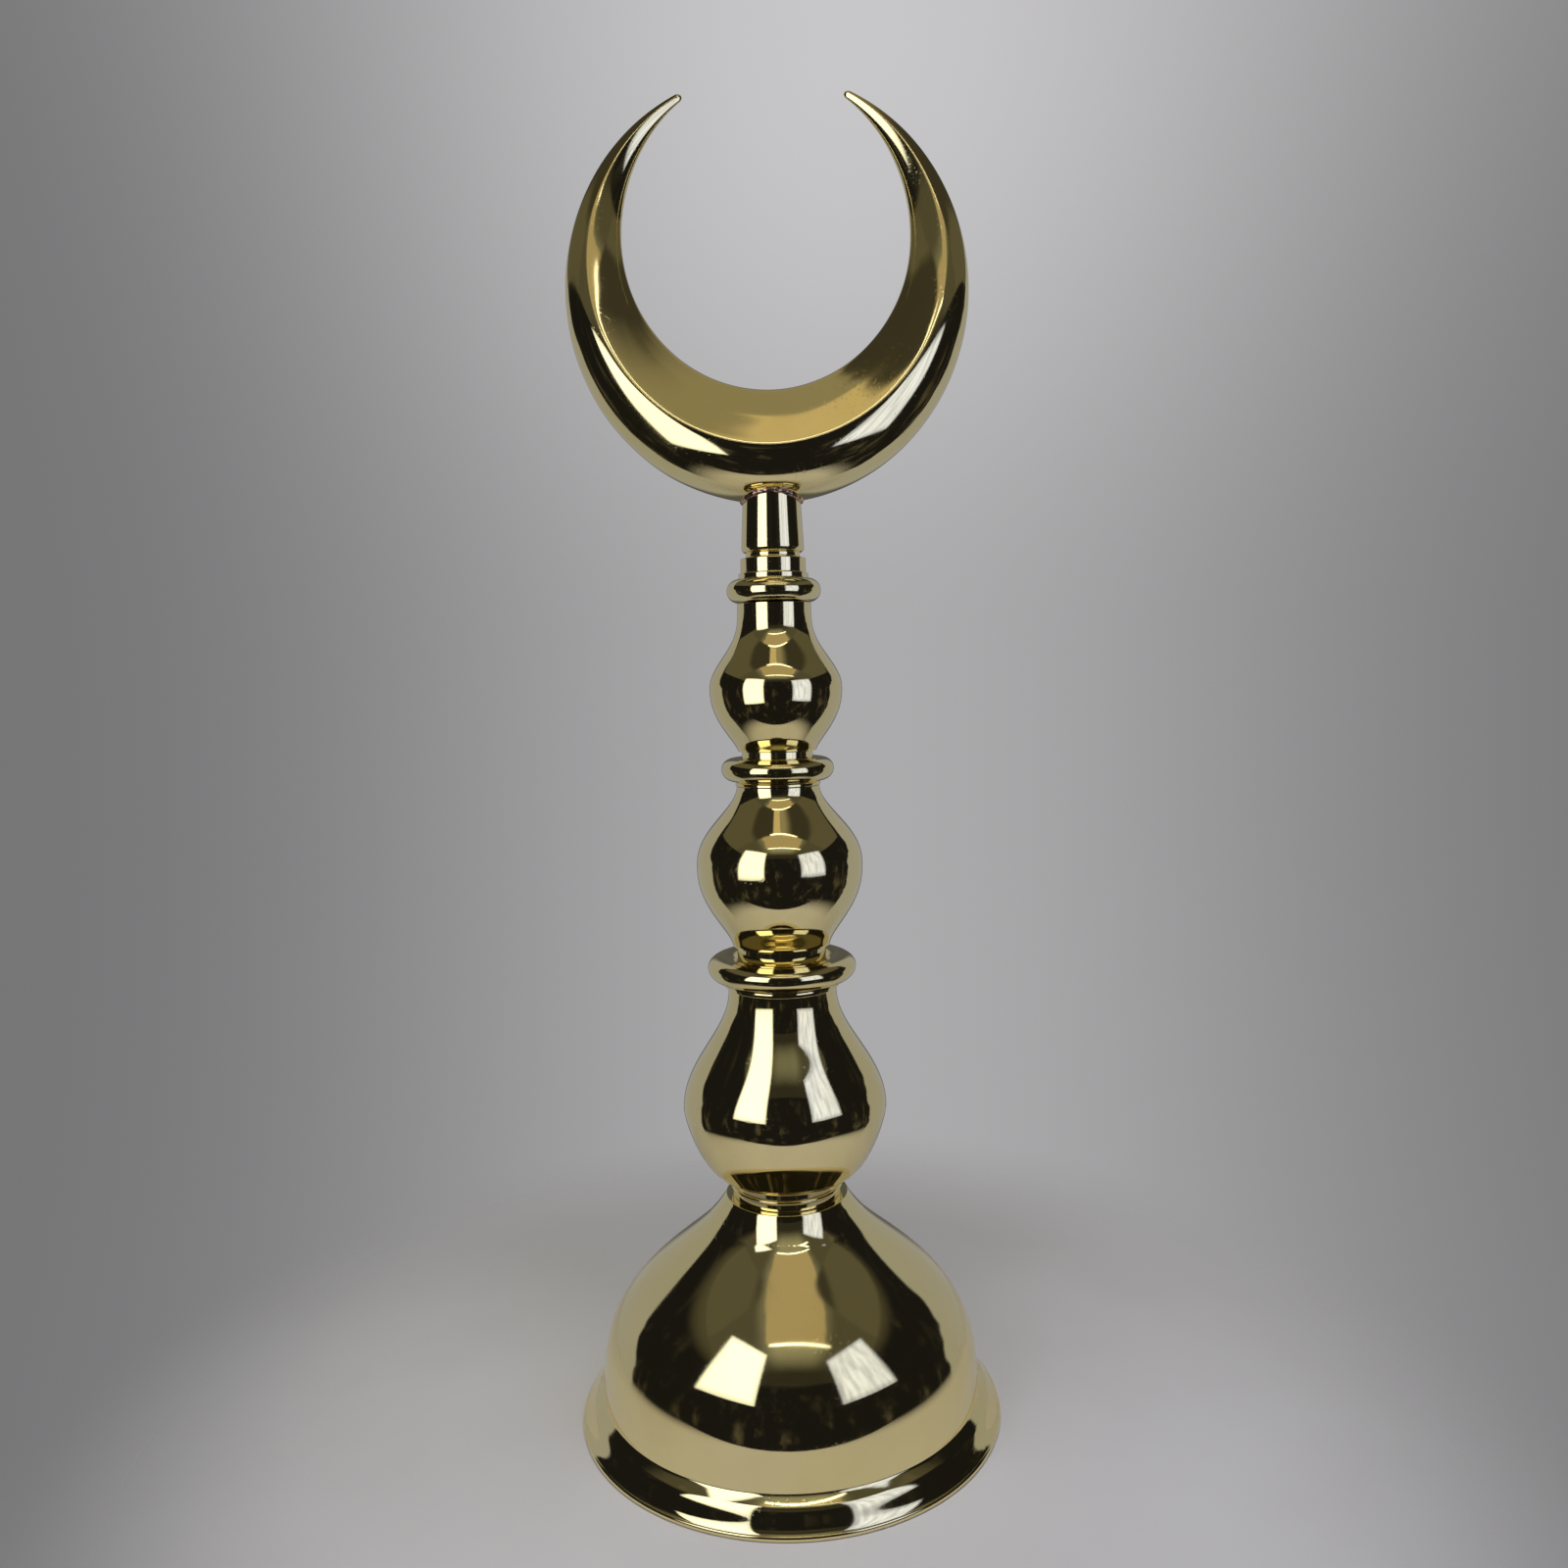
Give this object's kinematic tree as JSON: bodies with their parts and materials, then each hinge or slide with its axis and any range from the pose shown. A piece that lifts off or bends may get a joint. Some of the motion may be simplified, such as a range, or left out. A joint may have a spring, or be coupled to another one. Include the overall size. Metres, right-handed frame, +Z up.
{
  "type": "crescent finial",
  "caption": "Polished brass finial: an open spun bell carries swelling bulbs with moulded collars, topped by an upturned hollow crescent.",
  "frame": {"origin": "on the floor, at the middle of the bell's rolled rim", "axes": "+Z up the finial's axis, the crescent lies in the XZ plane and -Y is the side the picture shows"},
  "size_m": [0.3, 0.3, 0.9105],
  "materials": {
    "base_bell": "polished",
    "base_collar": "polished",
    "lower_bulb": "polished",
    "lower_collar": "polished",
    "middle_bulb": "polished",
    "upper_collar": "polished",
    "upper_bulb": "polished",
    "neck_socket": "polished",
    "crescent": "polished"
  },
  "bodies": {
    "root": {"base_bell": "base_bell", "base_collar": "base_collar", "lower_bulb": "lower_bulb", "lower_collar": "lower_collar", "middle_bulb": "middle_bulb", "upper_collar": "upper_collar", "upper_bulb": "upper_bulb", "neck_socket": "neck_socket", "crescent": "crescent"}
  },
  "joints": []
}
